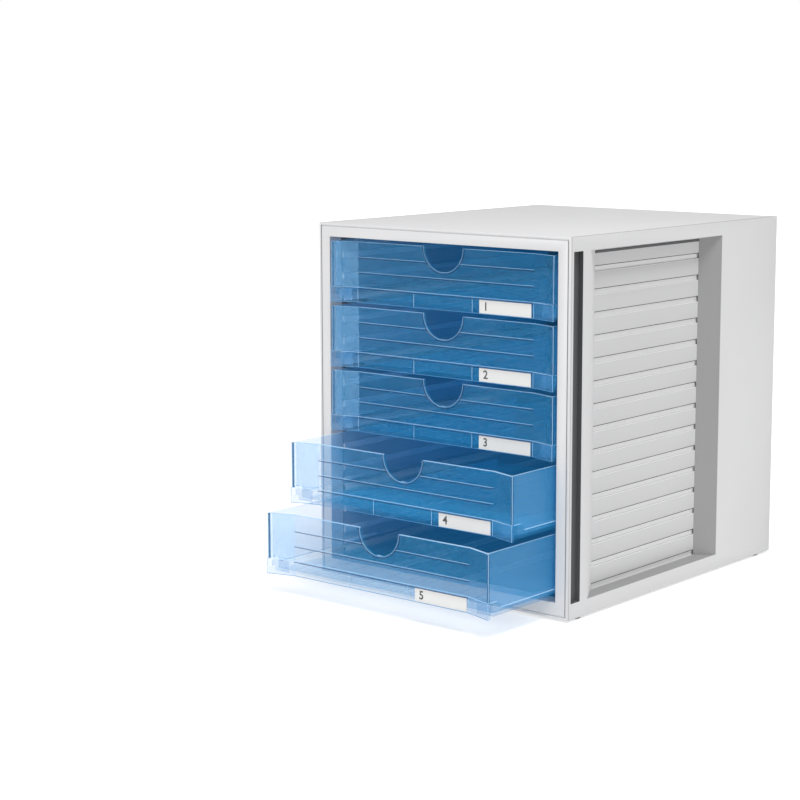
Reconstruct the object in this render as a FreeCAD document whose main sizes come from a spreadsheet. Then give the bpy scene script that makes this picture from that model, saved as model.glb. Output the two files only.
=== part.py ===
import FreeCAD, Part
import os
import re
import Sketcher

# Desktop drawer organizer: a closed cabinet with five pull-out trays.
# Millimetres, Z up. The origin is on the desk, below the middle of the overall box,
# which is measured with drawers 4 and 5 pulled out as they stand.
# The front looks towards -Y. Drawer 1 is at the top, drawer 5 at the bottom.
# In the sheet, "from_front" sizes are measured from the cabinet's front plane,
# and tray heights are measured from the lower edge of that tray's front.

doc = FreeCAD.newDocument("drawer_organizer")
V = FreeCAD.Vector
DRAWERS = 5
SLATS_PER_DRAWER = 3

SIZES = [
    # cabinet
    ("cabinet_depth", 330.0),
    ("opening_width", 250.0),
    ("side_border", 12.5),
    ("top_border", 12.0),
    ("bottom_border", 13.5),
    ("foot_height", 2.0),
    ("foot_radius", 6.0),
    ("foot_rounding", 0.6),
    ("foot_side_inset", 8.0),
    ("foot_end_inset", 20.0),
    ("shell_wall", 2.5),
    ("stiffener_wall", 2.0),
    ("stiffener_depth", 6.5),
    ("stiffener_spacing", 80.0),
    ("rear_field_depth", 0.8),
    # front frame
    ("frame_wall", 2.0),
    ("rim_width", 2.2),
    ("rim_groove", 0.8),
    ("collar_wall", 2.0),
    ("collar_end", 16.0),
    # side shell
    ("slot_from_front", 4.6),
    ("slot_width", 13.1),
    ("slot_reveal", 4.5),
    ("slot_lip", 1.5),
    ("insert_wall", 2.0),
    ("recess_from_front", 28.5),
    ("recess_length", 204.5),
    ("recess_ramp", 21.5),
    ("recess_draft", 2.0),
    ("recess_wall", 2.0),
    # runner panel
    ("runner_inset", 0.5),
    ("runner_wall", 2.0),
    ("groove_height", 5.0),
    ("groove_depth", 1.5),
    ("groove_drop", 1.0),
    ("ledge_reach", 2.7),
    ("guide_reach", 2.3),
    ("hold_down_length", 44.0),
    ("hold_down_height", 2.5),
    # drawers
    ("drawer_pitch", 58.0),
    ("front_spacing", 4.0),
    ("gap_below", 3.0),
    ("gap_above", 3.5),
    ("front_side_gap", 3.0),
    ("front_wall", 2.3),
    ("front_proud", 1.5),
    ("wing_width", 25.5),
    ("wing_depth", 8.0),
    ("channel_height", 13.8),
    ("channel_step", 1.0),
    ("channel_extra", 0.6),
    ("channel_rib", 1.2),
    ("bead_pitch", 13.4),
    ("bead_height", 1.0),
    ("bead_proud", 0.5),
    ("notch_radius", 21.4),
    ("notch_bead", 1.2),
    ("tray_wall", 2.0),
    ("tray_inset", 0.8),
    ("tray_lift", 1.2),
    ("tray_rear_gap", 2.5),
    ("rear_wall_drop", 4.0),
    ("flange_top", 8.0),
    ("flange_height", 2.0),
    ("flange_reach", 2.3),
    ("gusset_length", 10.5),
    ("gusset_slant", 5.0),
    ("stop_tab_height", 4.0),
    ("stop_tab_length", 4.0),
    ("stop_tab_from_rear", 24.0),
    ("runner_clearance", 0.3),
    ("floor_rib_spacing", 20.0),
    ("floor_rib_width", 1.2),
    ("floor_rib_height", 0.8),
    ("drawer_4_out", 54.0),
    ("drawer_5_out", 85.0),
    # label cards
    ("label_wall", 0.5),
    ("label_left_gap", 5.0),
    ("label_right_gap", 0.8),
    ("label_top_gap", 0.2),
]

sheet = doc.addObject("Spreadsheet::Sheet", "Sizes")
for row, (alias, value) in enumerate(SIZES, start=1):
    sheet.set("A%d" % row, alias)
    sheet.set("B%d" % row, str(value))
    sheet.setAlias("B%d" % row, alias)
doc.recompute()
ALIASES = {alias for alias, value in SIZES}

# Lengths that several pieces share, as formulas of the sheet's own sizes.
DERIVED = {
    "wing_slope": "(wing_depth / wing_width)",
    "nose_reach": "(front_proud + channel_step + channel_extra * wing_slope)",
    "front_plane": "((drawer_5_out + nose_reach - cabinet_depth) / 2)",
    "rear_plane": "(front_plane + cabinet_depth)",
    "half_opening": "(opening_width / 2)",
    "half_width": "(opening_width / 2 + side_border)",
    "opening_foot": "(foot_height + bottom_border)",
    "front_foot": "(foot_height + bottom_border + gap_below)",
    "front_height": "(drawer_pitch - front_spacing)",
    "opening_height": "(drawer_pitch * %d - front_spacing + gap_below + gap_above)" % DRAWERS,
    "opening_head": "(opening_foot + opening_height)",
    "cabinet_top": "(opening_head + top_border)",
    "runner_face": "(half_opening - runner_inset)",
    "slat_face": "(runner_face + runner_wall)",
    "recess_depth": "(half_width - slat_face)",
    "half_front": "(half_opening - front_side_gap)",
    "half_channel": "(half_front + channel_extra)",
    "half_middle": "(half_front - wing_width)",
    "cell_width": "(2 * half_middle / 3)",
    "half_tray": "(half_front - tray_inset)",
    "middle_face": "(wing_depth - front_proud)",
    "middle_back": "(middle_face + front_wall)",
    "tray_end": "(cabinet_depth - shell_wall - tray_rear_gap)",
}


def formula(text):
    """Writes shared lengths out in full, then names the sheet before each of its sizes."""
    while any(re.search(r"\b%s\b" % name, text) for name in DERIVED):
        for name, meaning in DERIVED.items():
            text = re.sub(r"\b%s\b" % name, meaning, text)
    return re.sub(r"\b[a-z]\w*\b", lambda m: "Sizes." * (m.group() in ALIASES) + m.group(), text)


def size_of(text):
    return float(sheet.evalExpression(formula(text)))


def bind(obj, prop, text):
    obj.setExpression(prop, formula(text))


def set_base(obj, corner):
    for axis, text in zip("xyz", corner):
        bind(obj, "Placement.Base." + axis, text)


def block(name, size, corner):
    """A rectangular block from its size and its lowest corner."""
    box = doc.addObject("Part::Box", name)
    for prop, text in zip(("Length", "Width", "Height"), size):
        bind(box, prop, text)
    set_base(box, corner)
    return box


def fuse(name, pieces):
    joined = doc.addObject("Part::MultiFuse", name)
    joined.Shapes = pieces
    return joined


def cut(name, base, tools):
    result = doc.addObject("Part::Cut", name)
    result.Base = base
    result.Tool = tools[0] if len(tools) == 1 else fuse(name + "_tools", tools)
    return result


def origin_plane(body, role):
    return next(f for f in body.Origin.OriginFeatures if f.Role == role)


def prism(name, role, corners, height, offset="0"):
    """A straight-sided body: an outline of (across, along) formulas on an origin plane, padded."""
    body = doc.addObject("PartDesign::Body", name)
    sketch = body.newObject("Sketcher::SketchObject", name + "_outline")
    sketch.AttachmentSupport = (origin_plane(body, role), [""])
    sketch.MapMode = "FlatFace"
    bind(sketch, "AttachmentOffset.Base.z", offset)
    points = [V(size_of(a), size_of(b), 0) for a, b in corners]
    for i, point in enumerate(points):
        sketch.addGeometry(Part.LineSegment(point, points[(i + 1) % len(points)]), False)
    for i in range(len(points)):
        sketch.addConstraint(Sketcher.Constraint("Coincident", i, 2, (i + 1) % len(points), 1))
    for i, (across, along) in enumerate(corners):
        for kind, text, value in (("DistanceX", across, points[i].x), ("DistanceY", along, points[i].y)):
            index = sketch.addConstraint(Sketcher.Constraint(kind, -1, 1, i, 1, value))
            bind(sketch, "Constraints[%d]" % index, text)
    pad = body.newObject("PartDesign::Pad", name + "_pad")
    pad.Profile = sketch
    bind(pad, "Length", height)
    return body


SUB_PARTS = []


def sub_part(obj, label):
    """Names a finished sub-part. Its label is the name of its file."""
    obj.Label = label
    SUB_PARTS.append(obj)
    return obj


def side_block(name, side, inner, thickness, size_yz, corner_yz):
    """A block on one side of the cabinet, from its inner distance off the middle plane."""
    start = inner if side == "right" else "-(%s) - (%s)" % (inner, thickness)
    return block(name, (thickness,) + size_yz, (start,) + corner_yz)


# Front frame: a flat ring with a rim line round its face and a collar behind the opening.
def front_frame():
    face = block(
        "frame_face",
        ("2 * half_width", "frame_wall", "cabinet_top - foot_height"),
        ("-half_width", "front_plane", "foot_height"),
    )
    collar = block(
        "frame_collar",
        ("opening_width + 2 * collar_wall", "collar_end", "opening_height + 2 * collar_wall"),
        ("-half_opening - collar_wall", "front_plane", "opening_foot - collar_wall"),
    )
    opening = block(
        "frame_opening",
        ("opening_width", "collar_end + 2 * frame_wall", "opening_height"),
        ("-half_opening", "front_plane - frame_wall", "opening_foot"),
    )
    groove_outside = block(
        "rim_groove_outside",
        ("2 * (half_width - rim_width)", "2 * rim_groove", "cabinet_top - foot_height - 2 * rim_width"),
        ("-half_width + rim_width", "front_plane - rim_groove", "foot_height + rim_width"),
    )
    inset = "(rim_width + rim_groove)"
    groove_inside = block(
        "rim_groove_inside",
        ("2 * (half_width - %s)" % inset, "4 * rim_groove", "cabinet_top - foot_height - 2 * %s" % inset),
        ("-half_width + %s" % inset, "front_plane - 2 * rim_groove", "foot_height + %s" % inset),
    )
    groove = cut("rim_groove_ring", groove_outside, [groove_inside])
    solid = fuse("frame_solid", [face, collar])
    return sub_part(cut("front_frame", solid, [opening, groove]), "front_frame")


# Top cover: a plate between the side shells, with three stiffening ribs below it.
def top_cover():
    plate = block(
        "top_plate",
        ("2 * (half_width - shell_wall)", "cabinet_depth - frame_wall", "shell_wall"),
        ("-half_width + shell_wall", "front_plane + frame_wall", "cabinet_top - shell_wall"),
    )
    ribs = [
        block(
            "top_rib_%d" % i,
            ("stiffener_wall", "cabinet_depth - collar_end - shell_wall", "stiffener_depth"),
            (
                "%d * stiffener_spacing - stiffener_wall / 2" % i,
                "front_plane + collar_end",
                "cabinet_top - shell_wall - stiffener_depth",
            ),
        )
        for i in (-1, 0, 1)
    ]
    return sub_part(fuse("top_cover", [plate] + ribs), "top_cover")


# Base panel: the same plate at the bottom, with its ribs on top.
def base_panel():
    plate = block(
        "base_plate",
        ("2 * (half_width - shell_wall)", "cabinet_depth - frame_wall", "shell_wall"),
        ("-half_width + shell_wall", "front_plane + frame_wall", "foot_height"),
    )
    ribs = [
        block(
            "base_rib_%d" % i,
            ("stiffener_wall", "cabinet_depth - collar_end - shell_wall", "stiffener_depth"),
            (
                "%d * stiffener_spacing - stiffener_wall / 2" % i,
                "front_plane + collar_end",
                "foot_height + shell_wall",
            ),
        )
        for i in (-1, 0, 1)
    ]
    return sub_part(fuse("base_panel", [plate] + ribs), "base_panel")


# Rear panel: closes the back, with a shallow field inside a flat border.
def rear_panel():
    inner_half = "(half_width - shell_wall)"
    plate = block(
        "rear_plate",
        ("2 * %s" % inner_half, "shell_wall", "cabinet_top - foot_height - 2 * shell_wall"),
        ("-%s" % inner_half, "rear_plane - shell_wall", "foot_height + shell_wall"),
    )
    field = block(
        "rear_field",
        (
            "2 * (%s - side_border)" % inner_half,
            "shell_wall",
            "cabinet_top - foot_height - 2 * shell_wall - top_border - bottom_border",
        ),
        (
            "-%s + side_border" % inner_half,
            "rear_plane - rear_field_depth",
            "foot_height + shell_wall + bottom_border",
        ),
    )
    return sub_part(cut("rear_panel", plate, [field]), "rear_panel")


def recess_wedge(name, side, grow, reach_in, reach_out):
    """The tapered space of a side recess: narrow at the slats, wide at the outer face."""
    wedge = doc.addObject("Part::Wedge", name)
    turn = -90 if side == "right" else 90
    wedge.Placement = FreeCAD.Placement(V(0, 0, 0), FreeCAD.Rotation(V(0, 0, 1), turn))
    front = "(front_plane + recess_from_front - %s)" % grow
    rear = "(front_plane + recess_from_front + recess_length + %s)" % grow
    foot = "(opening_foot - %s)" % grow
    head = "(opening_head + %s)" % grow
    near, far = (front, rear) if side == "left" else ("-%s" % rear, "-%s" % front)
    outer_face, inner_face = "half_width", "slat_face"
    # The slopes run on past both faces, so that the cut is clean.
    out_share = "(%s) / recess_depth" % reach_out
    in_share = "(1 + (%s) / recess_depth)" % reach_in
    bind(wedge, "Ymin", "%s - (%s)" % (inner_face, reach_in))
    bind(wedge, "Ymax", "%s + (%s)" % (outer_face, reach_out))
    bind(wedge, "X2min", "%s - recess_ramp * %s" % (near, out_share))
    bind(wedge, "X2max", "%s + recess_ramp * %s" % (far, out_share))
    bind(wedge, "Z2min", "%s - recess_draft * %s" % (foot, out_share))
    bind(wedge, "Z2max", "%s + recess_draft * %s" % (head, out_share))
    bind(wedge, "Xmin", "%s + recess_ramp * %s" % (near, in_share))
    bind(wedge, "Xmax", "%s - recess_ramp * %s" % (far, in_share))
    bind(wedge, "Zmin", "%s + recess_draft * %s" % (foot, in_share))
    bind(wedge, "Zmax", "%s - recess_draft * %s" % (head, in_share))
    return wedge


# Side shell: an outer wall with a tall slot near the front and a recess with sloped ends.
def side_shell(side):
    name = "side_shell_" + side
    wall = side_block(
        name + "_wall",
        side,
        "(half_width - shell_wall)",
        "shell_wall",
        ("cabinet_depth - frame_wall", "cabinet_top - foot_height"),
        ("front_plane + frame_wall", "foot_height"),
    )
    slot_lip = side_block(
        name + "_slot_lip",
        side,
        "(half_width - slot_reveal)",
        "slot_reveal",
        ("slot_width + 2 * slot_lip", "opening_height + 2 * slot_lip"),
        ("front_plane + slot_from_front - slot_lip", "opening_foot - slot_lip"),
    )
    slot = side_block(
        name + "_slot",
        side,
        "(half_width - slot_reveal - insert_wall)",
        "slot_reveal + 2 * insert_wall",
        ("slot_width", "opening_height"),
        ("front_plane + slot_from_front", "opening_foot"),
    )
    funnel = recess_wedge(name + "_funnel", side, "recess_wall", "0", "0")
    recess = recess_wedge(name + "_recess", side, "0", "recess_wall", "shell_wall")
    solid = fuse(name + "_solid", [wall, slot_lip, funnel])
    return sub_part(cut(name, solid, [slot, recess]), name)


# Slot insert: the dark strip that closes the slot from behind.
def slot_insert(side):
    name = "slot_insert_" + side
    strip = side_block(
        name,
        side,
        "(half_width - slot_reveal - insert_wall)",
        "insert_wall",
        ("slot_width + 2 * slot_lip", "opening_height + 2 * slot_lip"),
        ("front_plane + slot_from_front - slot_lip", "opening_foot - slot_lip"),
    )
    return sub_part(strip, name)


# Runner panel: slats outside, and inside the ledges that carry the drawers' flanges.
def runner_panel(side):
    name = "runner_panel_" + side
    start = "front_plane + collar_end"
    length = "cabinet_depth - collar_end - shell_wall"
    plate = side_block(
        name + "_plate",
        side,
        "runner_face",
        "runner_wall",
        (length, "cabinet_top - foot_height - 2 * shell_wall"),
        (start, "foot_height + shell_wall"),
    )
    solids, grooves = [plate], []
    for i in range(DRAWERS * SLATS_PER_DRAWER):
        foot = "front_foot - groove_drop + drawer_pitch * %d / %d" % (i, SLATS_PER_DRAWER)
        carries = i % SLATS_PER_DRAWER == 0
        reach = "ledge_reach" if carries else "guide_reach"
        ledge_height = "groove_drop + flange_top - flange_height - runner_clearance"
        height = ledge_height if carries else "groove_height"
        solids.append(
            side_block(
                "%s_ridge_%d" % (name, i + 1),
                side,
                "(runner_face - %s)" % reach,
                reach + " + runner_wall / 4",
                (length, height),
                (start, foot),
            )
        )
        grooves.append(
            side_block(
                "%s_groove_%d" % (name, i + 1),
                side,
                "(slat_face - groove_depth)",
                "2 * groove_depth",
                ("cabinet_depth", "groove_height"),
                ("front_plane", foot),
            )
        )
    for i in range(DRAWERS):
        solids.append(
            side_block(
                "%s_hold_down_%d" % (name, i + 1),
                side,
                "(runner_face - ledge_reach)",
                "ledge_reach + runner_wall / 4",
                ("hold_down_length", "hold_down_height"),
                (start, "front_foot + drawer_pitch * %d + flange_top + runner_clearance" % i),
            )
        )
    return sub_part(cut(name, fuse(name + "_solid", solids), grooves), name)


# Foot: a round rubber pad with a rounded lower edge, stuck under the base.
def foot(end, side):
    name = "foot_%s_%s" % (end, side)
    pad = doc.addObject("Part::Cylinder", name + "_pad")
    bind(pad, "Radius", "foot_radius")
    bind(pad, "Height", "foot_height")
    along = "front_plane + foot_end_inset" if end == "front" else "rear_plane - foot_end_inset"
    across = "half_width - foot_side_inset"
    set_base(pad, (across if side == "right" else "-(%s)" % across, along, "0"))
    doc.recompute()
    rounding = size_of("foot_rounding")
    edge = next(
        i + 1
        for i, e in enumerate(pad.Shape.Edges)
        if e.BoundBox.ZMax < rounding and e.Length > size_of("foot_radius") * 2
    )
    rounded = doc.addObject("Part::Fillet", name)
    rounded.Base = pad
    rounded.Edges = [(edge, rounding, rounding)]
    return sub_part(rounded, name)


def front_outline(half_end, face_shift):
    """The concave outline of a drawer front seen from above, from its face to its back."""
    end_face = "front_plane - front_proud"
    middle = "front_plane + middle_face"
    ends = ("%s - %s" % (end_face, face_shift), "%s + front_wall" % end_face)
    mids = ("%s - %s" % (middle, face_shift), "%s + front_wall" % middle)
    return [
        ("-" + half_end, ends[0]),
        ("-half_middle", mids[0]),
        ("half_middle", mids[0]),
        (half_end, ends[0]),
        (half_end, ends[1]),
        ("half_middle", mids[1]),
        ("-half_middle", mids[1]),
        ("-" + half_end, ends[1]),
    ]


# Drawer tray: one moulding with a concave front, a finger notch, a label channel,
# walls, a ribbed floor, runner flanges with gussets, and stop tabs at the back.
def drawer_tray(number, out):
    name = "drawer_tray_%d" % number
    foot_z = "(front_foot + drawer_pitch * %d)" % (DRAWERS - number)
    front = "front_plane"
    solids = []

    def add(part_name, size, corner):
        across, along, up = corner
        solids.append(block("%s_%s" % (name, part_name), size, (across, along, "%s + %s" % (foot_z, up))))

    solids.append(
        prism(
            name + "_front",
            "XY_Plane",
            front_outline("half_front", "0"),
            "front_height",
            foot_z,
        )
    )
    solids.append(
        prism(
            name + "_channel_floor",
            "XY_Plane",
            front_outline("half_channel", "0"),
            "channel_height",
            foot_z,
        )
    )
    solids.append(
        prism(
            name + "_channel_lip",
            "XY_Plane",
            front_outline("half_channel", "channel_step"),
            "channel_rib",
            "%s + channel_height - channel_rib" % foot_z,
        )
    )
    for sign, tag in ((-1, "left"), (1, "right")):
        # The end zones of the channel stand proud all over, like its lip.
        solids.append(
            prism(
                "%s_channel_end_%s" % (name, tag),
                "XY_Plane",
                [
                    ("%d * half_channel" % sign, "front_plane - nose_reach"),
                    ("%d * half_middle" % sign, "front_plane + middle_face - channel_step"),
                    ("%d * half_middle" % sign, "front_plane + middle_face + front_wall / 2"),
                    ("%d * half_channel" % sign, "front_plane - front_proud + front_wall / 2"),
                ][::sign],
                "channel_height",
                foot_z,
            )
        )
    for i in range(4):
        add(
            "divider_%d" % (i + 1),
            ("channel_rib", "channel_step + front_wall / 2", "channel_height"),
            (
                "%d * cell_width - half_middle - channel_rib / 2" % i,
                front + " + middle_face - channel_step",
                "0",
            ),
        )
    for i in (1, 2):
        add(
            "bead_%d" % i,
            ("2 * half_middle", "bead_proud + front_wall / 2", "bead_height"),
            (
                "-half_middle",
                front + " + middle_face - bead_proud",
                "front_height - %d * bead_pitch - bead_height" % i,
            ),
        )
    ring = doc.addObject("Part::Cylinder", name + "_notch_ring")
    bind(ring, "Radius", "notch_radius + notch_bead")
    bind(ring, "Height", "bead_proud + front_wall / 2")
    ring.Placement.Rotation = FreeCAD.Rotation(V(1, 0, 0), -90)
    set_base(ring, ("0", front + " + middle_face - bead_proud", "%s + front_height" % foot_z))
    ring_top = block(
        name + "_notch_ring_top",
        ("4 * notch_radius", "4 * front_wall", "2 * notch_radius"),
        ("-2 * notch_radius", front + " + middle_face - 2 * front_wall", "%s + front_height" % foot_z),
    )
    solids.append(cut(name + "_notch_bead", ring, [ring_top]))

    # Walls and floor of the tray box.
    add(
        "wall_left",
        ("tray_wall", "tray_end - middle_face", "front_height - tray_lift"),
        ("-half_tray", front + " + middle_face", "tray_lift"),
    )
    add(
        "wall_right",
        ("tray_wall", "tray_end - middle_face", "front_height - tray_lift"),
        ("half_tray - tray_wall", front + " + middle_face", "tray_lift"),
    )
    for sign, tag in ((-1, "left"), (1, "right")):
        inner = "half_tray - tray_wall" if sign > 0 else "-half_tray"
        add(
            "wall_end_" + tag,
            (
                "tray_wall",
                "middle_back + front_proud - front_wall / 2",
                "front_height - channel_height + tray_wall",
            ),
            (inner, front + " - front_proud + front_wall / 2", "channel_height - tray_wall"),
        )
        # A small shelf closes the corner between the angled wing and the box.
        solids.append(
            prism(
                "%s_shelf_%s" % (name, tag),
                "XY_Plane",
                [
                    ("%d * half_tray" % sign, "front_plane - front_proud + front_wall / 2"),
                    ("%d * half_middle" % sign, "front_plane + middle_face + front_wall / 2"),
                    ("%d * half_middle" % sign, "front_plane + middle_back"),
                    ("%d * half_tray" % sign, "front_plane + middle_back"),
                ][::sign],
                "tray_wall",
                "%s + channel_height - tray_wall" % foot_z,
            )
        )
    add(
        "lower_front",
        ("2 * half_tray", "front_wall", "channel_height - tray_lift"),
        ("-half_tray", front + " + middle_face", "tray_lift"),
    )
    add(
        "floor",
        ("2 * half_tray", "tray_end - middle_face", "tray_wall"),
        ("-half_tray", front + " + middle_face", "tray_lift"),
    )
    add(
        "rear_wall",
        ("2 * half_tray", "tray_wall", "front_height - tray_lift - rear_wall_drop"),
        ("-half_tray", front + " + tray_end - tray_wall", "tray_lift"),
    )
    ribs = int((size_of("half_tray") - size_of("tray_wall")) // size_of("floor_rib_spacing"))
    for i in range(-ribs, ribs + 1):
        add(
            "floor_rib_%d" % (i + ribs + 1),
            ("floor_rib_width", "tray_end - middle_back", "floor_rib_height + tray_wall / 2"),
            (
                "%d * floor_rib_spacing - floor_rib_width / 2" % i,
                front + " + middle_face + front_wall / 2",
                "tray_lift + tray_wall / 2",
            ),
        )

    # Runner flanges, their gussets behind the front, and the stop tabs.
    for sign, tag in ((-1, "left"), (1, "right")):
        inner = "half_tray - tray_wall / 2" if sign > 0 else "-half_tray - flange_reach"
        width = "flange_reach + tray_wall / 2"
        add(
            "flange_" + tag,
            (width, "tray_end - gusset_length", "flange_height"),
            (inner, front + " + gusset_length", "flange_top - flange_height"),
        )
        add(
            "stop_tab_" + tag,
            (width, "stop_tab_length", "stop_tab_height + flange_height / 2"),
            (inner, front + " + tray_end - stop_tab_from_rear", "flange_top - flange_height / 2"),
        )
        gusset = prism(
            "%s_gusset_%s" % (name, tag),
            "YZ_Plane",
            [
                ("front_plane - front_proud + front_wall / 2", foot_z + " + flange_top - flange_height"),
                (
                    "front_plane - front_proud + gusset_length + gusset_slant",
                    foot_z + " + flange_top - flange_height",
                ),
                ("front_plane - front_proud + gusset_length + gusset_slant", foot_z + " + flange_top"),
                ("front_plane - front_proud + gusset_length", foot_z + " + channel_height"),
                ("front_plane - front_proud + front_wall / 2", foot_z + " + channel_height"),
            ],
            width,
            inner,
        )
        solids.append(gusset)

    notch = doc.addObject("Part::Cylinder", name + "_notch")
    bind(notch, "Radius", "notch_radius")
    bind(notch, "Height", "6 * front_wall")
    notch.Placement.Rotation = FreeCAD.Rotation(V(1, 0, 0), -90)
    set_base(notch, ("0", front + " + middle_face - 3 * front_wall", "%s + front_height" % foot_z))
    tray = cut(name, fuse(name + "_solid", solids), [notch])
    if out != "0":
        bind(tray, "Placement.Base.y", "-" + out)
    return sub_part(tray, name)


# Label card: a stiff white card in the right-hand cell of the channel.
def label_card(number, out):
    card = block(
        "label_card_%d" % number,
        (
            "cell_width - channel_rib - label_left_gap - label_right_gap",
            "label_wall",
            "channel_height - channel_rib - label_top_gap",
        ),
        (
            "half_middle - cell_width + channel_rib / 2 + label_left_gap",
            "front_plane + middle_face - label_wall - %s" % out,
            "front_foot + drawer_pitch * %d" % (DRAWERS - number),
        ),
    )
    return sub_part(card, "label_card_%d" % number)


front_frame()
top_cover()
base_panel()
rear_panel()
for side in ("left", "right"):
    side_shell(side)
    slot_insert(side)
    runner_panel(side)
    for end in ("front", "rear"):
        foot(end, side)
PULLED_OUT = {4: "drawer_4_out", 5: "drawer_5_out"}
for number in range(1, DRAWERS + 1):
    out = PULLED_OUT.get(number, "0")
    drawer_tray(number, out)
    label_card(number, out)

doc.recompute()

for obj in doc.Objects:
    if "Invalid" in obj.State or "Error" in obj.State:
        raise RuntimeError("%s failed: %s" % (obj.Label, obj.State))
for obj in SUB_PARTS:
    if obj.Shape.isNull() or not obj.Shape.isValid():
        raise RuntimeError("%s has no valid shape" % obj.Label)
    if len(obj.Shape.Solids) != 1:
        raise RuntimeError("%s has %d solids" % (obj.Label, len(obj.Shape.Solids)))

os.makedirs("parts", exist_ok=True)
for obj in SUB_PARTS:
    obj.Shape.exportStep("parts/%s.step" % obj.Label)
    box = obj.Shape.BoundBox
    print("%-20s %9.1f mm3   x %7.1f %7.1f   y %7.1f %7.1f   z %6.1f %6.1f" % (
        obj.Label, obj.Shape.Volume, box.XMin, box.XMax, box.YMin, box.YMax, box.ZMin, box.ZMax))
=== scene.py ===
import math

import bmesh
import bpy
from mathutils import Matrix, Vector


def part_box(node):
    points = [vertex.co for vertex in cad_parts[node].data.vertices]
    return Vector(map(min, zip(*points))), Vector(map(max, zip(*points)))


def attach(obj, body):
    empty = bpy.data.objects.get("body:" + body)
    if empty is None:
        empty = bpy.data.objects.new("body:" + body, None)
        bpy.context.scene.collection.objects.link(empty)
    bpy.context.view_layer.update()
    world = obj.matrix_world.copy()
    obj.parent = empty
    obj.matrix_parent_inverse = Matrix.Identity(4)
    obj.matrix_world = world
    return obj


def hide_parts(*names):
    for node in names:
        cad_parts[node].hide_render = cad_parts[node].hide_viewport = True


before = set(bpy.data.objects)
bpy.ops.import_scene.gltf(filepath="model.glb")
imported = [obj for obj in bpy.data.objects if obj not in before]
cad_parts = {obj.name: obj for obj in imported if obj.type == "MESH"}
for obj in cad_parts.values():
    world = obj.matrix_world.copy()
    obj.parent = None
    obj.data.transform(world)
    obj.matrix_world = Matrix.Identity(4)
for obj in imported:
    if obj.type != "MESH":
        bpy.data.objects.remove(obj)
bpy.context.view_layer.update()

# Side shells: the two outer walls of the closed cabinet, each with a tall slot near the
# front and a wide recess with sloped ends. Injection moulded in light grey high-impact
# polystyrene, they snap over the edges of the top, base and rear panels.
MM = 0.001
SHELL_ROUNDING = 0.5 * MM
OUTER_SKIN = 0.6 * MM
RECESS_REACH = 230 * MM
# How far a face has to be turned along an axis: 1 is square on, 0 is edge on.
REAR_SLOPE = 0.1
LEDGE_SLOPE = 0.3
FACING = 0.9
FLAT_ON = 0.97
POLYSTYRENE_IOR = 1.59
CLOUD_SIZE = 90 * MM
GRAIN_DETAIL = 2.0
GRAIN_STRENGTH = 0.15
GRAIN_DEPTH = 0.1 * MM
SATIN_SPREAD = 0.05
BEVELLED_CORNER = math.radians(28)
SHARP_CORNER = math.radians(35)
FLAT_JOINT = math.radians(0.5)
SAME_POINT = MM / 1000


def linear_colour(hex_text):
    """An sRGB hex value as the linear colour that shaders take."""
    parts = [int(hex_text[i : i + 2], 16) / 255 for i in (1, 3, 5)]
    return [p / 12.92 if p <= 0.04045 else ((p + 0.055) / 1.055) ** 2.4 for p in parts] + [1.0]


def add_node(tree, kind, settings=None, links=None, inputs=None):
    """Adds a node: its own settings, the sockets that feed it, and plain values for its inputs."""
    node = tree.nodes.new(kind)
    for key, value in (settings or {}).items():
        setattr(node, key, value)
    for key, value in (inputs or {}).items():
        node.inputs[key].default_value = value
    for key, source in (links or {}).items():
        tree.links.new(source, node.inputs[key])
    return node


def grained_surface(name, colour, cloud_colour, roughness, grain_size):
    """An opaque moulded or coated surface: satin or matt, with a fine even grain and a faint
    cloud in its tone."""
    material = bpy.data.materials.new(name)
    material.use_nodes = True
    tree = material.node_tree
    tree.nodes.clear()
    place = add_node(tree, "ShaderNodeTexCoord").outputs["Object"]
    cloud, grain = (
        add_node(
            tree,
            "ShaderNodeTexNoise",
            links={"Vector": place},
            inputs={"Scale": 1 / size, "Detail": GRAIN_DETAIL},
        ).outputs["Fac"]
        for size in (CLOUD_SIZE, grain_size)
    )
    tint = add_node(
        tree,
        "ShaderNodeMix",
        settings={"data_type": "RGBA"},
        links={0: cloud},
        inputs={6: linear_colour(colour), 7: linear_colour(cloud_colour)},
    )
    satin = add_node(
        tree,
        "ShaderNodeMapRange",
        links={"Value": grain},
        inputs={"To Min": roughness - SATIN_SPREAD, "To Max": roughness + SATIN_SPREAD},
    )
    bump = add_node(
        tree,
        "ShaderNodeBump",
        links={"Height": grain},
        inputs={"Strength": GRAIN_STRENGTH, "Distance": GRAIN_DEPTH},
    )
    shader = add_node(
        tree,
        "ShaderNodeBsdfPrincipled",
        links={
            "Base Color": tint.outputs[2],
            "Roughness": satin.outputs["Result"],
            "Normal": bump.outputs["Normal"],
        },
        inputs={"IOR": POLYSTYRENE_IOR},
    )
    add_node(tree, "ShaderNodeOutputMaterial", links={"Surface": shader.outputs["BSDF"]})
    return material


def whole_copy(node, name):
    """A copy of a CAD piece as one closed mesh whose flat faces are whole again."""
    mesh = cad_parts[node].data.copy()
    mesh.name = name
    mesh.materials.clear()
    shape = bmesh.new()
    shape.from_mesh(mesh)
    bmesh.ops.remove_doubles(shape, verts=shape.verts, dist=SAME_POINT)
    bmesh.ops.dissolve_limit(shape, angle_limit=FLAT_JOINT, verts=shape.verts, edges=shape.edges)
    shape.to_mesh(mesh)
    shape.free()
    piece = bpy.data.objects.new(name, mesh)
    bpy.context.collection.objects.link(piece)
    return piece


def finish_mesh(piece):
    """Turns the modifiers' result into the piece's own plain mesh."""
    seen = piece.evaluated_get(bpy.context.evaluated_depsgraph_get())
    piece.data = bpy.data.meshes.new_from_object(seen)
    piece.modifiers.clear()


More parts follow.
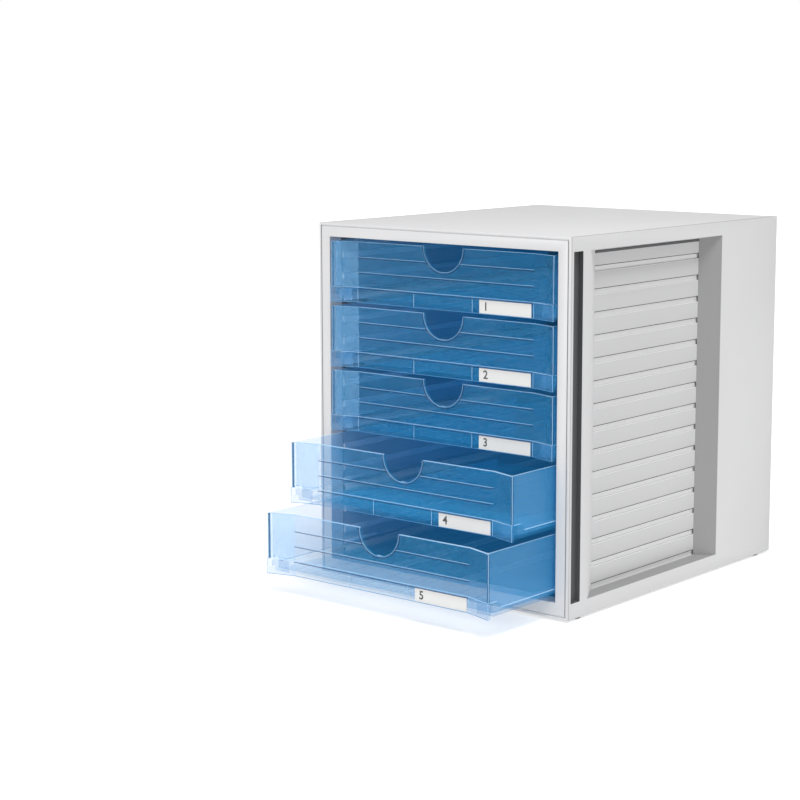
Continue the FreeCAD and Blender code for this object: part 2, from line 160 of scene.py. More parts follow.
def round_edges(piece, radius, segments=2):
    """Rounds the sharp edges, as the corners of a mould do, and keeps the piece's own box."""
    bevel = piece.modifiers.new("rounded edges", "BEVEL")
    bevel.width = radius
    bevel.segments = segments
    bevel.limit_method = "ANGLE"
    bevel.angle_limit = BEVELLED_CORNER
    low, high = piece.bound_box[0][:], piece.bound_box[6][:]
    finish_mesh(piece)
    for vertex in piece.data.vertices:
        vertex.co = [min(max(vertex.co[i], low[i]), high[i]) for i in range(3)]


def give_finishes(piece, finishes, choose):
    """Gives each face of the piece the one of these finishes that is chosen for it."""
    piece.data.materials.clear()
    for finish in finishes:
        piece.data.materials.append(finish)
    for face in piece.data.polygons:
        face.material_index = finishes.index(choose(face))


def fit_in_cabinet(piece, node):
    """Puts the piece in the cabinet in place of its CAD node."""
    piece.data.set_sharp_from_angle(angle=SHARP_CORNER)
    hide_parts(node)
    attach(piece, "cabinet")


# The real grain is about 0.3 mm. It is drawn at 0.9 mm, so that it shows.
GRAIN = 0.9 * MM
# The outer faces come from a finely spark-eroded mould: a soft, even satin.
cabinet_grey = grained_surface(
    "light grey polystyrene, moulded satin", "#c7c7c8", "#c2c2c3", 0.42, GRAIN
)
# The rear slope and the foot of the recess are coarser, and are given a darker grey: painted shade
# beside the slats.
recess_shading_grey = grained_surface(
    "mid grey polystyrene, painted recess shade", "#8b8b8b", "#848485", 0.5, GRAIN
)
# The slot is dark and matt, so that it shows as one clean line.
slot_grey = grained_surface(
    "dark grey polystyrene, moulded matt", "#525354", "#4b4c4d", 0.5, GRAIN
)
# Inner faces keep the rough of the mould's core, and are given a dark grey: painted shade inside
# the cabinet, behind the trays.
inner_shading_grey = grained_surface(
    "dark grey polystyrene, painted inner shade", "#5a5a5c", "#545456", 0.7, GRAIN
)
# Both sides are alike, so the right one gives the sizes.
shell_low, shell_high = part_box("side_shell_right")
slot_low, slot_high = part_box("slot_insert_right")
half_width, slot_inner = shell_high[0], (slot_low[0] + slot_high[0]) / 2


def shell_finish(face):
    """Light outside, dark in the slot, painted shade on the inner faces and on two walls of the
    recess.
    """
    spot, turn = face.center, face.normal
    in_slot = (
        abs(spot.x) > slot_inner
        and slot_low[1] < spot.y < slot_high[1]
        and slot_low[2] < spot.z < slot_high[2]
    )
    in_recess = slot_high[1] < spot.y < slot_high[1] + RECESS_REACH
    # Painted shade: faces turned inward are given a dark grey.
    if turn.x * spot.x < 0 and abs(turn.x) > FACING:
        return inner_shading_grey
    if abs(spot.x) > half_width - OUTER_SKIN or abs(turn.x) > FLAT_ON:
        return cabinet_grey
    if in_slot:
        return slot_grey
    # Painted shade: the rear slope and the foot of the recess are given a darker grey.
    if in_recess and (turn.y < -REAR_SLOPE or turn.z > LEDGE_SLOPE):
        return recess_shading_grey
    return cabinet_grey


for side in ("left", "right"):
    node = "side_shell_" + side
    shell = whole_copy(node, "side_wall_" + side)
    round_edges(shell, SHELL_ROUNDING)
    give_finishes(shell, (cabinet_grey, recess_shading_grey, slot_grey, inner_shading_grey), shell_finish)
    fit_in_cabinet(shell, node)

# Front frame and the flat panels: one ring round the drawers, with a thin rim set off by
# a groove, and the top, base and rear plates with their ribs. The same grey polystyrene,
# clipped in between the side shells, and a thin dark line of painted shade lies in each seam.
FRAME_ROUNDING = 0.35 * MM
PLATE_ROUNDING = 0.5 * MM
FRAME_WALL = 2 * MM
RIM_WIDTH = 2.2 * MM
RIM_SEAM_DEPTH = 0.5 * MM
RIM_SEAM_RADIUS = 0.3 * MM
SEAM_RADIUS = 0.22 * MM
LINE_SIDES = 6
for node, name, rounding, inward in (
    ("front_frame", "front_ring", FRAME_ROUNDING, (0, 0, 0)),
    ("top_cover", "top_plate", PLATE_ROUNDING, (0, 0, -1)),
    ("base_panel", "base_plate", PLATE_ROUNDING, (0, 0, 1)),
    ("rear_panel", "back_plate", PLATE_ROUNDING, (0, -1, 0)),
):
    plate = whole_copy(node, name)
    round_edges(plate, rounding)
    # Painted shade: faces turned into the cabinet are given a dark grey.
    give_finishes(
        plate,
        (cabinet_grey, inner_shading_grey),
        lambda face: inner_shading_grey if face.normal.dot(Vector(inward)) > FACING else cabinet_grey,
    )
    fit_in_cabinet(plate, node)


def start_tree(name, inputs):
    """A new Geometry Nodes tree, and the sockets of its named inputs."""
    tree = bpy.data.node_groups.new(name, "GeometryNodeTree")
    for socket, kind in inputs.items():
        tree.interface.new_socket(socket, in_out="INPUT", socket_type="NodeSocket" + kind)
    tree.interface.new_socket("Geometry", in_out="OUTPUT", socket_type="NodeSocketGeometry")
    return tree, add_node(tree, "NodeGroupInput").outputs


def end_tree(tree, shape, plastic):
    """Ends the tree: its shape becomes real mesh in one finish."""
    real = add_node(tree, "GeometryNodeRealizeInstances", links={"Geometry": shape})
    painted = add_node(
        tree,
        "GeometryNodeSetMaterial",
        links={"Geometry": real.outputs["Geometry"], "Material": plastic},
    )
    add_node(tree, "NodeGroupOutput", links={"Geometry": painted.outputs["Geometry"]})
    return tree


def moulded_line_tree():
    """Geometry Nodes: lays a thin round line along every edge that the object holds."""
    tree, given = start_tree(
        "thin moulded line", {"Geometry": "Geometry", "Radius": "Float", "Plastic": "Material"}
    )
    path = add_node(tree, "GeometryNodeMeshToCurve", links={"Mesh": given["Geometry"]})
    ring = add_node(
        tree,
        "GeometryNodeCurvePrimitiveCircle",
        inputs={"Resolution": LINE_SIDES},
        links={"Radius": given["Radius"]},
    )
    line = add_node(
        tree,
        "GeometryNodeCurveToMesh",
        inputs={"Fill Caps": True},
        links={"Curve": path.outputs["Curve"], "Profile Curve": ring.outputs["Curve"]},
    )
    return end_tree(tree, line.outputs["Mesh"], given["Plastic"])


def set_tree(piece, tree, values):
    """Puts the tree on the piece once more. Its inputs are set by their sockets' identifiers."""
    step = piece.modifiers.new(tree.name, "NODES")
    step.node_group = tree
    for item in tree.interface.items_tree:
        if item.in_out == "INPUT" and item.name in values:
            step[item.identifier] = values[item.name]


line_tree = moulded_line_tree()


def thin_lines(name, paths, radius, finish, body):
    """One piece of thin round lines, such as a painted shade line in a seam or a painted highlight
    on an edge.
    """
    points, edges = [], []
    for path in paths:
        edges += [(len(points) + i, len(points) + i + 1) for i in range(len(path) - 1)]
        points += path
    lines = bpy.data.objects.new(name, bpy.data.meshes.new(name))
    lines.data.from_pydata(points, edges, [])
    bpy.context.collection.objects.link(lines)
    set_tree(lines, line_tree, {"Radius": radius, "Plastic": finish})
    finish_mesh(lines)
    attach(lines, body)


# Painted shade: little light comes out of a seam, so a thin dark line stands in for its shadow.
shadow_line_grey = grained_surface(
    "dark grey polystyrene, in the shade of a seam", "#4c4c4e", "#444446", 0.6, GRAIN
)
foot, head = shell_low[2], shell_high[2]
front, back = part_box("front_frame")[0][1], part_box("rear_panel")[1][1]
cover_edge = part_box("top_cover")[1][0]
rim_paths, seam_paths = [], []
for sign in (-1, 1):
    rim_x, rim_y = sign * (half_width - RIM_WIDTH - RIM_SEAM_RADIUS), front + RIM_SEAM_DEPTH
    rim_paths.append([(rim_x, rim_y, foot + RIM_WIDTH), (rim_x, rim_y, head - RIM_WIDTH)])
    side_x, side_y = sign * (half_width - SEAM_RADIUS), front + FRAME_WALL
    seam_paths.append([(side_x, side_y, foot), (side_x, side_y, head)])
    top_x, top_z = sign * cover_edge, head - SEAM_RADIUS
    seam_paths.append([(top_x, side_y, top_z), (top_x, back - FRAME_WALL, top_z)])
thin_lines("rim_seam_shade", rim_paths, RIM_SEAM_RADIUS, shadow_line_grey, "cabinet")
thin_lines("plate_seam_shade", seam_paths, SEAM_RADIUS, shadow_line_grey, "cabinet")

# Runner panels: the inner side walls. Outside they show as fifteen flat slats in the
# recess; inside they carry the ledges and guides that the drawers slide on. One grey
# moulding a side, repeated here by its own pitch.
DRAWERS = 5
DRAWER_PITCH = 58 * MM
SLATS = 15
SLAT_PITCH = DRAWER_PITCH / 3
GROOVE_HEIGHT = 5 * MM
GROOVE_DEPTH = 1.5 * MM
PANEL_WALL = 2 * MM
GUIDE_REACH = 2.3 * MM
LEDGE_REACH = 2.7 * MM
LEDGE_HEIGHT = 6.7 * MM
RUNNER_GAP = 1 * MM
HOLD_DOWN_RISE = 8.3 * MM
HOLD_DOWN_LENGTH = 44 * MM
HOLD_DOWN_HEIGHT = 2.5 * MM
WALL_ROUNDING = 0.1 * MM
BAR_ROUNDING = 0.3 * MM
SKIN = 0.1 * MM
EDGE = 0.5 * MM
EDGE_PROUD = 0.05 * MM
EDGE_ROUNDING = 0.15 * MM
SHADE_DEPTH = 0.4 * MM
SLOT_LIP = 1.5 * MM
HEAD_SHADE_DROP = 4.6 * MM
HEAD_SHADE_HEIGHT = 2.4 * MM
HEAD_SHADE_DEPTH = 0.3 * MM
CORNER_STEPS = 3


def bar_row_tree():
    """Geometry Nodes: adds a row of rounded bars, one above the other, to the object."""
    tree, given = start_tree(
        "row of moulded bars",
        {
            "Geometry": "Geometry",
            "Bars": "Int",
            "Pitch": "Float",
            "First": "Vector",
            "Size": "Vector",
            "Rounding": "Float",
            "Plastic": "Material",
        },
    )
    size = add_node(tree, "ShaderNodeSeparateXYZ", links={0: given["Size"]}).outputs
    outline = add_node(
        tree,
        "GeometryNodeCurvePrimitiveQuadrilateral",
        links={"Width": size["X"], "Height": size["Z"]},
    )
    rounded = add_node(
        tree,
        "GeometryNodeFilletCurve",
        settings={"mode": "POLY"},
        inputs={"Count": CORNER_STEPS, "Limit Radius": True},
        links={"Curve": outline.outputs["Curve"], "Radius": given["Rounding"]},
    )
    far_end = add_node(tree, "ShaderNodeCombineXYZ", links={"Y": size["Y"]})
    run = add_node(
        tree, "GeometryNodeCurvePrimitiveLine", links={"End": far_end.outputs["Vector"]}
    )
    bar = add_node(
        tree,
        "GeometryNodeCurveToMesh",
        inputs={"Fill Caps": True},
        links={"Curve": run.outputs["Curve"], "Profile Curve": rounded.outputs["Curve"]},
    )
    step = add_node(tree, "ShaderNodeCombineXYZ", links={"Z": given["Pitch"]})
    places = add_node(
        tree,
        "GeometryNodeMeshLine",
        links={
            "Count": given["Bars"],
            "Start Location": given["First"],
            "Offset": step.outputs["Vector"],
        },
    )
    row = add_node(
        tree,
        "GeometryNodeInstanceOnPoints",
        links={"Points": places.outputs["Mesh"], "Instance": bar.outputs["Mesh"]},
    )
    joined = add_node(tree, "GeometryNodeJoinGeometry")
    tree.links.new(row.outputs["Instances"], joined.inputs["Geometry"])
    tree.links.new(given["Geometry"], joined.inputs["Geometry"])
    return end_tree(tree, joined.outputs["Geometry"], given["Plastic"])


bar_rows = bar_row_tree()


def barred(name, sign, finish, rows):
    """One piece made of rows of bars, on the left (sign -1) or the right (1). Each row gives
    its count and pitch, how far its bars reach from and to off the middle plane, their foot,
    height and length, and their rounding."""
    piece = bpy.data.objects.new(name, bpy.data.meshes.new(name))
    bpy.context.collection.objects.link(piece)
    for count, pitch, (near, far), foot_z, height, length, rounding in rows:
        middle_x = sign * (near + far) / 2
        values = {
            "Bars": count,
            "Pitch": pitch,
            "First": Vector((middle_x, panel_low[1], foot_z + height / 2)),
            "Size": (far - near, length, height),
            "Rounding": rounding,
            "Plastic": finish,
        }
        set_tree(piece, bar_rows, values)
    finish_mesh(piece)
    # The rows leave an empty finish in the list, so the list is made anew.
    give_finishes(piece, (finish,), lambda face: finish)
    return piece


# The slats have the same satin as the shells, a tone darker.
slat_grey = grained_surface("grey polystyrene, moulded slats", "#bdbdbe", "#b8b8b9", 0.45, GRAIN)
# Painted light: the foot of the grooves between the slats is given the palest grey, against the
# shade that falls there.
groove_painted_light = grained_surface(
    "pale grey polystyrene, painted light in the grooves", "#e4e4e4", "#e3e3e3", 0.5, GRAIN
)
# The side towards the drawers is smoother and pale, and passes light on to the trays.
runner_grey = grained_surface(
    "pale grey polystyrene, moulded runners", "#dcdcdd", "#d6d6d7", 0.5, GRAIN
)
# Painted highlight: a fine bright line, a little glossier, along the upper edge of each slat.
edge_highlight_grey = grained_surface(
    "pale grey polystyrene, painted edge highlight", "#d6d6d7", "#d0d0d1", 0.3, GRAIN
)
panel_low, panel_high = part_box("runner_panel_right")
length, outer = panel_high[1] - panel_low[1], panel_high[0]
inner = outer - PANEL_WALL
wall_face = outer - GROOVE_DEPTH
seat = (inner + wall_face) / 2
lowest_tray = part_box("drawer_tray_%d" % DRAWERS)[0][2]
groove = lowest_tray - RUNNER_GAP
slat, slat_height = groove + GROOVE_HEIGHT, SLAT_PITCH - GROOVE_HEIGHT
top_slat = groove + (SLATS - 1) * SLAT_PITCH + GROOVE_HEIGHT
hold_down = lowest_tray + HOLD_DOWN_RISE
bar, ledge, guide = (inner, outer), (inner - LEDGE_REACH, seat), (inner - GUIDE_REACH, seat)
wall_height, top_height = panel_high[2] - panel_low[2], panel_high[2] - top_slat
panel_rows = (
    (1, 0, (inner, wall_face), panel_low[2], wall_height, length, WALL_ROUNDING),
    (SLATS - 1, SLAT_PITCH, bar, slat, slat_height, length, BAR_ROUNDING),
    (1, 0, bar, top_slat, top_height, length, BAR_ROUNDING),
    (1, 0, bar, panel_low[2], groove - panel_low[2], length, BAR_ROUNDING),
    (SLATS, SLAT_PITCH, guide, groove, GROOVE_HEIGHT, length, BAR_ROUNDING),
    (DRAWERS, DRAWER_PITCH, ledge, groove, LEDGE_HEIGHT, length, BAR_ROUNDING),
    (DRAWERS, DRAWER_PITCH, ledge, hold_down, HOLD_DOWN_HEIGHT, HOLD_DOWN_LENGTH, BAR_ROUNDING),
)
# Painted shadows: a dark line lies under each slat, and another under the head of the recess.
head_shade = slot_high[2] - SLOT_LIP - HEAD_SHADE_DROP
under_slat, under_head = (outer - SHADE_DEPTH, outer), (outer, outer + HEAD_SHADE_DEPTH)
shade_rows = (
    (SLATS, SLAT_PITCH, under_slat, slat - EDGE, EDGE, length, SKIN),
    (1, 0, under_head, head_shade, HEAD_SHADE_HEIGHT, length, SKIN),
)
# A painted highlight lies along the upper edge of each slat.
bright_edge = (outer - EDGE, outer + EDGE_PROUD)
shine_rows = ((SLATS, SLAT_PITCH, bright_edge, groove - EDGE, EDGE, length, EDGE_ROUNDING),)


def panel_finish(face):
    """Slats outside, painted light between them, and pale on the side of the drawers."""
    off_middle = abs(face.center.x)
    outward = face.normal.x * math.copysign(1, face.center.x)
    if off_middle < inner + SKIN:
        return runner_grey
    if outward > FACING and off_middle < wall_face + SKIN:
        return groove_painted_light
    return slat_grey


for side, sign in (("left", -1), ("right", 1)):
    panel = barred("slat_panel_" + side, sign, slat_grey, panel_rows)
    give_finishes(panel, (slat_grey, groove_painted_light, runner_grey), panel_finish)
    fit_in_cabinet(panel, "runner_panel_" + side)
    shade = barred("slat_shade_" + side, sign, shadow_line_grey, shade_rows)
    shine = barred("slat_highlight_" + side, sign, edge_highlight_grey, shine_rows)
    for piece in (shade, shine):
        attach(piece, "cabinet")

# Slot strips: flat dark grey inlays behind the tall slots. Matt moulded polystyrene,
# pressed into the lip of the side shell.


def refinish(node, finish):
    """Gives its finish to a CAD piece whose shape is right."""
    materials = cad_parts[node].data.materials
    materials.clear()
    materials.append(finish)


for side in ("left", "right"):
    refinish("slot_insert_" + side, slot_grey)

# Feet: four round pads under the base, 12 mm across. Moulded dark rubber, pressed into
# shallow seats near the corners.
# The fine tooth of moulded rubber is drawn at 1.2 mm, so that it shows.
RUBBER_GRAIN = 1.2 * MM
# It is matt and takes almost no shine, so the feet stay dark.
foot_rubber = grained_surface("dark rubber, moulded", "#3a3a3c", "#323234", 0.75, RUBBER_GRAIN)
for side in ("left", "right"):
    for end in ("front", "rear"):
        refinish("foot_%s_%s" % (end, side), foot_rubber)

# Drawer trays: five see-through blue mouldings with a dished front, a finger notch, fine
# ridges and a channel for label cards. Clear polystyrene dyed blue in the melt. Its walls
# are 2 mm thick, and their cut edges carry painted highlights.
TRAY_ROUNDING = 0.2 * MM
THIN_FACE = 2.6 * MM
SIDE_AREA = 5000 * MM**2
FLOOR_AREA = 1500 * MM**2
LEVEL = 0.998
HALF_TURNED = 0.5
FLOOR_RISE = 5 * MM
BEHIND_FRONT = 3 * MM
CHANNEL_START = 0.3 * MM
BLUE_GRAIN_DEPTH = 0.15 * MM
BLUE_GRAIN_STRENGTH = 0.35
SPECKLE = (0.4, 0.6)
# The real grain is about 0.4 mm. It is drawn at 1.6 mm, so that it shows.
BLUE_GRAIN = 1.6 * MM


def tinted_polystyrene(name, colour, grain_colour, glow, opacity, roughness):
    """Clear polystyrene with blue dye. What lies behind is seen through it, and a fine mould grain
    shows as a light speckle. Each wall also has a painted glow: a blue emission, for light
    scattered in the dye."""
    material = bpy.data.materials.new(name)
    material.use_nodes = True
    tree = material.node_tree
    tree.nodes.clear()
    place = add_node(tree, "ShaderNodeTexCoord").outputs["Object"]
    grain = add_node(
        tree,
        "ShaderNodeTexNoise",
        links={"Vector": place},
        inputs={"Scale": 1 / BLUE_GRAIN, "Detail": GRAIN_DETAIL},
    ).outputs["Fac"]
    speckle = add_node(
        tree,
        "ShaderNodeMapRange",
        links={"Value": grain},
        inputs={"From Min": SPECKLE[0], "From Max": SPECKLE[1]},
    )
    tint = add_node(
        tree,
        "ShaderNodeMix",
        settings={"data_type": "RGBA"},
        links={0: speckle.outputs["Result"]},
        inputs={6: linear_colour(colour), 7: linear_colour(grain_colour)},
    )
    bump = add_node(
        tree,
        "ShaderNodeBump",
        links={"Height": grain},
        inputs={"Strength": BLUE_GRAIN_STRENGTH, "Distance": BLUE_GRAIN_DEPTH},
    )
    shader = add_node(
        tree,
        "ShaderNodeBsdfPrincipled",
        links={"Base Color": tint.outputs[2], "Normal": bump.outputs["Normal"]},
        inputs={
            "IOR": POLYSTYRENE_IOR,
            "Roughness": roughness,
            "Alpha": opacity,
            # Painted glow: this emission stands in for light scattered inside the dyed wall.
            "Emission Color": linear_colour(glow),
            "Emission Strength": 1.0,
        },
    )
    add_node(tree, "ShaderNodeOutputMaterial", links={"Surface": shader.outputs["BSDF"]})
    return material


# The fourth colour of each blue below is its painted glow.
# Seen square on, a wall is at its clearest: deep blue, with a light speckle.
tray_blue = tinted_polystyrene(
    "blue polystyrene, clear dyed", "#003c66", "#46aee0", "#0e5882", 0.115, 0.18
)
# The sides are seen along their length, and look denser and lighter.
wall_blue = tinted_polystyrene(
    "blue polystyrene, clear dyed side", "#5aa8da", "#68b4e6", "#0c4e7a", 0.2, 0.18
)
# The floor's fine ribs scatter the light, so it is the least clear.
floor_blue = tinted_polystyrene(
    "blue polystyrene, ribbed floor", "#28789e", "#3084b0", "#16547e", 0.28, 0.25
)
# The left wing carries a painted sheen: a paler, denser blue than the middle, as if turned to the
# light.
left_sheen_blue = tinted_polystyrene(
    "blue polystyrene, painted sheen on the left wing", "#589cce", "#8ccaf4", "#0f2c40", 0.3, 0.22
)
# The right wing carries painted shade: a deeper blue than the middle, and stays clear.
right_shading_blue = tinted_polystyrene(
    "blue polystyrene, painted shade on the right wing", "#0c4874", "#50a6d8", "#14628e", 0.13, 0.2
)
# The channel's wall stands in front of the tray's own, and two layers look denser.
channel_blue = tinted_polystyrene(
    "blue polystyrene, channel wall", "#3c84b8", "#4c92c6", "#0a3c62", 0.2, 0.2
)
# Painted highlight for the light that leaves a cut edge: a pale, dense blue on thin upper faces
# and edge lines.
rim_highlight = tinted_polystyrene(
    "blue polystyrene, painted edge highlight", "#bfe0fb", "#b0d6f6", "#000000", 0.75, 0.25
)
# Painted highlight, a dim one: the channel's foot is turned down, and its edge line is given a mid
# blue.
foot_highlight = tinted_polystyrene(
    "blue polystyrene, painted foot edge highlight", "#4488bc", "#5096c8", "#000000", 0.8, 0.25
)
# Painted highlight, a faint one, on the upper edges of the low ridges.
faint_highlight = tinted_polystyrene(
    "blue polystyrene, painted faint edge highlight", "#b4dcfa", "#a6d0f2", "#000000", 0.65, 0.25
)
# Painted shade: a dark line under each ridge, where no light leaves it and the dye looks darkest.
edge_shadow_blue = tinted_polystyrene(
    "blue polystyrene, lower edge in shade", "#08305a", "#0c3a66", "#000000", 0.85, 0.3
)
# The end of a wing is seen through the most plastic: deep and almost solid.
end_blue = tinted_polystyrene(
    "blue polystyrene, seen end on", "#124e7c", "#185a88", "#000000", 0.9, 0.25
)
TRAY_FINISHES = (tray_blue, rim_highlight, left_sheen_blue, wall_blue, floor_blue, right_shading_blue, channel_blue)
FRONT_HALF = 122 * MM
FRONT_HEIGHT = 54 * MM
MIDDLE_HALF = 96.5 * MM
WING_DEPTH = 8 * MM
NOTCH_RADIUS = 21.4 * MM
NOTCH_BEAD = 1.2 * MM
NOTCH_STEPS = 32
LIP_HEAD = 13.8 * MM
LIP_HEIGHT = 1.2 * MM
LIP_PROUD = 1 * MM
CHANNEL_HALF = 122.3 * MM
CHANNEL_NOSE = 9 * MM
CHANNEL_CELLS = 3
BEAD_FEET = (39.6 * MM, 26.2 * MM)
BEAD_HEIGHT = 1 * MM
BEAD_PROUD = 0.5 * MM
EDGE_RADIUS = 0.25 * MM
SHINE_RADIUS = 0.18 * MM
FAINT_RADIUS = 0.16 * MM
SHADE_RADIUS = 0.3 * MM
END_RADIUS = 1 * MM


def tray_finish(face):
    """Painted highlights on thin upper faces, painted sheen and shade on the wings; each side,
    floor and channel has its own tone.
    """
    spot, turn = face.center, face.normal
    corners = [tray.data.vertices[v].co for v in face.vertices]
    outline = sum((corners[i] - corners[i - 1]).length for i in range(len(corners)))
    low_down = spot.z < front_foot + FLOOR_RISE
    on_floor = low_down and spot.y > middle_face + BEHIND_FRONT
    in_channel = spot.z < front_foot + LIP_HEAD and spot.y < middle_face - CHANNEL_START
    on_front = turn.y < -FACING and spot.y < middle_face
    # Painted highlight on thin upper faces.
    if 2 * face.area < THIN_FACE * outline and turn.z > LEVEL and not on_floor:
        return rim_highlight
    if in_channel and abs(turn.y) > HALF_TURNED:
        return channel_blue
    # Painted sheen on the left wing, painted shade on the right one.
    if on_front and spot.x < -MIDDLE_HALF:
        return left_sheen_blue
    if on_front and spot.x > MIDDLE_HALF:
        return right_shading_blue
    if abs(turn.x) > FACING and face.area > SIDE_AREA:
        return wall_blue
    if abs(turn.z) > FACING and face.area > FLOOR_AREA and low_down:
        return floor_blue
    return tray_blue


for number in range(1, DRAWERS + 1):
    node, body = "drawer_tray_%d" % number, "drawer_%d" % number
    card_low, card_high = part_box("label_card_%d" % number)
    front_foot, middle_face = card_low[2], card_high[1]
    tray = whole_copy(node, "blue_tray_%d" % number)
    round_edges(tray, TRAY_ROUNDING, 1)
    give_finishes(tray, TRAY_FINISHES, tray_finish)
    tray.data.set_sharp_from_angle(angle=SHARP_CORNER)
    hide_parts(node)
    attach(tray, body)

    # Painted highlight and shade: each ridge and the lip has a fine pale line on its upper edge
    # and a dark one below.
    face_y, lip_y = middle_face - BEAD_PROUD, middle_face - LIP_PROUD
    bright, faint, dark, foot_edge = [], [], [], []
    for ridge in BEAD_FEET:
        drop = FRONT_HEIGHT - ridge
        clear = math.sqrt(max((NOTCH_RADIUS + NOTCH_BEAD) ** 2 - drop**2, 0))
        for paths, rise in (
            (faint, ridge + BEAD_HEIGHT - FAINT_RADIUS),
            (dark, ridge - SHADE_RADIUS),
        ):
            z = front_foot + rise
            for sign in (-1, 1):
                paths.append([(sign * clear, face_y, z), (sign * MIDDLE_HALF, face_y, z)])
    for paths, rise in (
        (faint, LIP_HEAD - FAINT_RADIUS),
        (dark, LIP_HEAD - LIP_HEIGHT - SHADE_RADIUS),
        (foot_edge, EDGE_RADIUS),
    ):
        z = front_foot + rise
        paths.append([(-MIDDLE_HALF, lip_y, z), (MIDDLE_HALF, lip_y, z)])

    # The channel: painted highlights along the walls between its cells, and along its two ends,
    # which slope forward.
    for i in range(CHANNEL_CELLS + 1):
        cell_x = (2 * i / CHANNEL_CELLS - 1) * MIDDLE_HALF
        bright.append([(cell_x, lip_y, front_foot), (cell_x, lip_y, front_foot + LIP_HEAD)])
    for sign in (-1, 1):
        nose_x = sign * (CHANNEL_HALF - EDGE_RADIUS)
        nose_y = middle_face - CHANNEL_NOSE + EDGE_RADIUS
        low_z, high_z = front_foot + EDGE_RADIUS, front_foot + LIP_HEAD - EDGE_RADIUS
        start_x = sign * MIDDLE_HALF
        nose_top, nose_foot = (nose_x, nose_y, high_z), (nose_x, nose_y, low_z)
        bright.append([(start_x, lip_y, high_z), nose_top, nose_foot])
        foot_edge.append([(start_x, lip_y, low_z), nose_foot])

    # Painted highlights and shade along the notch's rim, then along the top edge with the outer
    # end of each wing.
    # The left wing's edge gets only the faint painted highlight.
    turns = [math.pi * i / NOTCH_STEPS for i in range(NOTCH_STEPS + 1)]
    top = front_foot + FRONT_HEIGHT - EDGE_RADIUS
    for paths, radius in (
        (faint, NOTCH_RADIUS + EDGE_RADIUS),
        (dark, NOTCH_RADIUS + NOTCH_BEAD + SHADE_RADIUS),
    ):
        arc = [(-radius * math.cos(t), face_y, top - radius * math.sin(t)) for t in turns]
        paths.append(arc)
    edge_y, wing_y = middle_face + EDGE_RADIUS, middle_face - WING_DEPTH + EDGE_RADIUS
    for sign, paths in ((-1, faint), (1, bright)):
        fold_x, wing_x = sign * MIDDLE_HALF, sign * (FRONT_HALF - EDGE_RADIUS)
        bright.append([(sign * NOTCH_RADIUS, edge_y, top), (fold_x, edge_y, top)])
        wing_foot = (wing_x, wing_y, front_foot + LIP_HEAD)
        paths.append([(fold_x, edge_y, top), (wing_x, wing_y, top), wing_foot])
    end_x, end_y = FRONT_HALF - END_RADIUS - EDGE_RADIUS, wing_y + END_RADIUS
    ends = [
        [(sign * end_x, end_y, front_foot + LIP_HEAD), (sign * end_x, end_y, top)]
        for sign in (-1, 1)
    ]
    for name, paths, radius, finish in (
        ("ridge_shine_%d", bright, SHINE_RADIUS, rim_highlight),
        ("channel_foot_highlight_%d", foot_edge, EDGE_RADIUS, foot_highlight),
        ("ridge_gleam_%d", faint, FAINT_RADIUS, faint_highlight),
        ("ridge_shade_%d", dark, SHADE_RADIUS, edge_shadow_blue),
        ("wing_end_%d", ends, END_RADIUS, end_blue),
    ):
        thin_lines(name % number, paths, radius, finish, body)

# Label cards: stiff white card strips, cut to the length of a cell, that slide into the
# channel of each front from its end. Each has the number of its drawer printed at the left.
CARD_GAPS = (1.6 * MM, 1.3 * MM)
FIGURE_SIZE = 10 * MM
FIGURE_BOLD = 0.2 * MM
FIGURE_INSET = 6 * MM
INK_DEPTH = 0.02 * MM
# The fibres of the card are drawn at 0.6 mm, coarser than the real ones.
CARD_GRAIN = 0.6 * MM
# Coated card is smooth and even, and the ink on it dries matt and not quite black.
card_white = grained_surface("white card, coated", "#d0d0ce", "#cccccb", 0.45, CARD_GRAIN)
printing_ink = grained_surface("dark grey printing ink", "#3c3c3e", "#38383a", 0.5, CARD_GRAIN)
for number in range(1, DRAWERS + 1):
    node, body = "label_card_%d" % number, "drawer_%d" % number
    low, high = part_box(node)
    card = whole_copy(node, "card_%d" % number)
    for vertex in card.data.vertices:
        vertex.co.x = min(max(vertex.co.x, low[0] + CARD_GAPS[0]), high[0] - CARD_GAPS[1])
    card.data.materials.append(card_white)
    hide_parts(node)
    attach(card, body)

    words = bpy.data.curves.new("figure_%d" % number, "FONT")
    words.body = str(number)
    words.size = FIGURE_SIZE
    words.offset = FIGURE_BOLD
    words.extrude = INK_DEPTH
    words.align_y = "CENTER"
    figure = bpy.data.objects.new("card_figure_%d" % number, words)
    bpy.context.collection.objects.link(figure)
    seen = figure.evaluated_get(bpy.context.evaluated_depsgraph_get())
    shape = bpy.data.meshes.new_from_object(seen)
    bpy.data.objects.remove(figure)
    spot = (low[0] + FIGURE_INSET, low[1] - INK_DEPTH, (low[2] + high[2]) / 2)
    shape.transform(Matrix.Translation(spot) @ Matrix.Rotation(math.pi / 2, 4, "X"))
    shape.materials.clear()
    shape.materials.append(printing_ink)
    printed = bpy.data.objects.new("card_figure_%d" % number, shape)
    bpy.context.collection.objects.link(printed)
    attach(printed, body)

# Studio: a white light table in a white room, with one wide softbox in front and one at
# the upper right. The table glows a little, so that the shadows on it stay faint.
HALF_FLOOR = 6.0
TABLE_GLOW = 0.5
ROOM_LIGHT = 0.55
BACKDROP = 1.0
LAMP_DISTANCE = 2
# The frost of the acrylic is drawn at 2 mm, coarser than the real one.
FROST = 2 * MM
WHITE = linear_colour("#ffffff")
floor_mesh = bpy.data.meshes.new("floor")
corners = [(x * HALF_FLOOR, y * HALF_FLOOR, 0) for x, y in ((-1, -1), (1, -1), (1, 1), (-1, 1))]
floor_mesh.from_pydata(corners, [], [(0, 1, 2, 3)])
floor = bpy.data.objects.new("floor", floor_mesh)
bpy.context.collection.objects.link(floor)
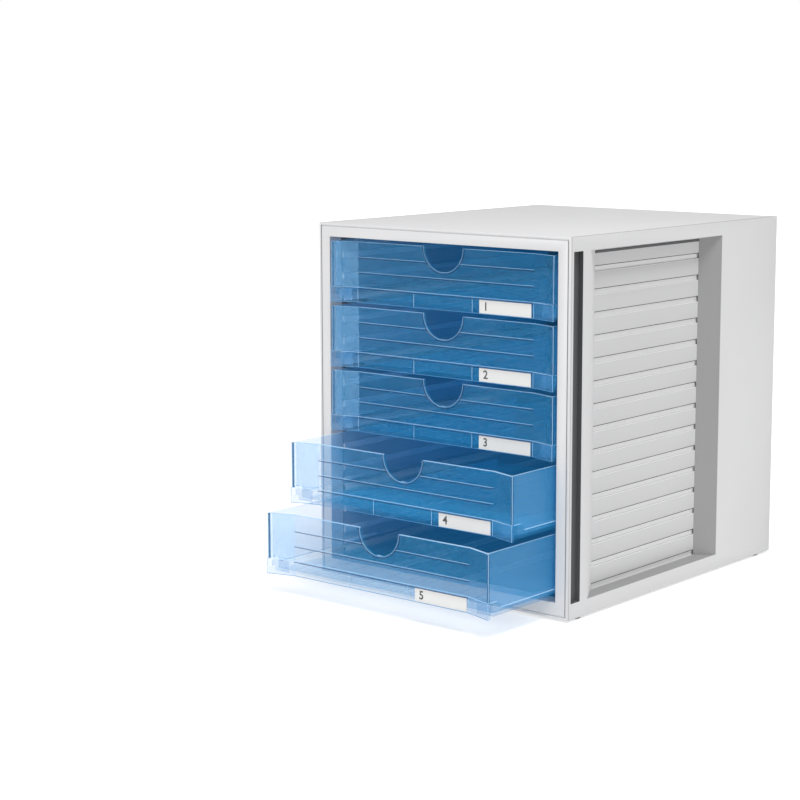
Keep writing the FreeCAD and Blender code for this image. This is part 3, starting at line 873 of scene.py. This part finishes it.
# Frosted acrylic is fully matt, so the table mirrors nothing of the cabinet.
table_white = grained_surface("white acrylic, lit from below", "#c4c4c4", "#c2c2c2", 0.9, FROST)
table_shader = table_white.node_tree.nodes["Principled BSDF"]
table_shader.inputs["Emission Color"].default_value = WHITE
table_shader.inputs["Emission Strength"].default_value = TABLE_GLOW
floor_mesh.materials.append(table_white)

room = bpy.data.worlds.new("white room")
bpy.context.scene.world = room
room.use_nodes = True
sky = room.node_tree
sky.nodes.clear()
light_in, backdrop = (
    add_node(sky, "ShaderNodeBackground", inputs={"Color": WHITE, "Strength": strength})
    for strength in (ROOM_LIGHT, BACKDROP)
)
white_room = add_node(
    sky,
    "ShaderNodeMixShader",
    links={
        0: add_node(sky, "ShaderNodeLightPath").outputs["Is Camera Ray"],
        1: light_in.outputs["Background"],
        2: backdrop.outputs["Background"],
    },
)
add_node(sky, "ShaderNodeOutputWorld", links={"Surface": white_room.outputs["Shader"]})

for name, towards, strength, spread in (
    ("front softbox", (-0.1, -0.95, 0.3), 0.95, 35),
    ("right softbox", (0.33, -0.2, 0.93), 2.6, 20),
):
    lamp = bpy.data.lights.new(name, "SUN")
    lamp.energy = strength
    lamp.angle = math.radians(spread)
    softbox = bpy.data.objects.new(name, lamp)
    bpy.context.collection.objects.link(softbox)
    softbox.location = Vector(towards) * LAMP_DISTANCE
    softbox.rotation_euler = (-softbox.location).to_track_quat("-Z", "Y").to_euler()

# The camera stands in front and to the right, a little above the cabinet, and looks down
# on it. Its place, turn and lens were fitted to the photograph's 800 pixels of width.
SENSOR = 36
PICTURE_WIDTH = 800
LENS_PIXELS = 1991.93
VIEW_SHIFT = -0.0375
CAMERA_ASIDE, CAMERA_AHEAD, CAMERA_HEIGHT = 1.06765, 1.30854, 0.44482
LOOK_DOWN, LOOK_LEFT = 0.1442, 0.6887
lens = bpy.data.cameras.new("camera")
lens.sensor_width = SENSOR
lens.lens = LENS_PIXELS / PICTURE_WIDTH * SENSOR
lens.shift_x = VIEW_SHIFT
lens.shift_y = VIEW_SHIFT
camera = bpy.data.objects.new("camera", lens)
bpy.context.collection.objects.link(camera)
camera.location = (CAMERA_ASIDE, front - CAMERA_AHEAD, CAMERA_HEIGHT)
camera.rotation_euler = (math.pi / 2 - LOOK_DOWN, 0, LOOK_LEFT)
bpy.context.scene.camera = camera
bpy.context.scene.view_settings.view_transform = "Standard"
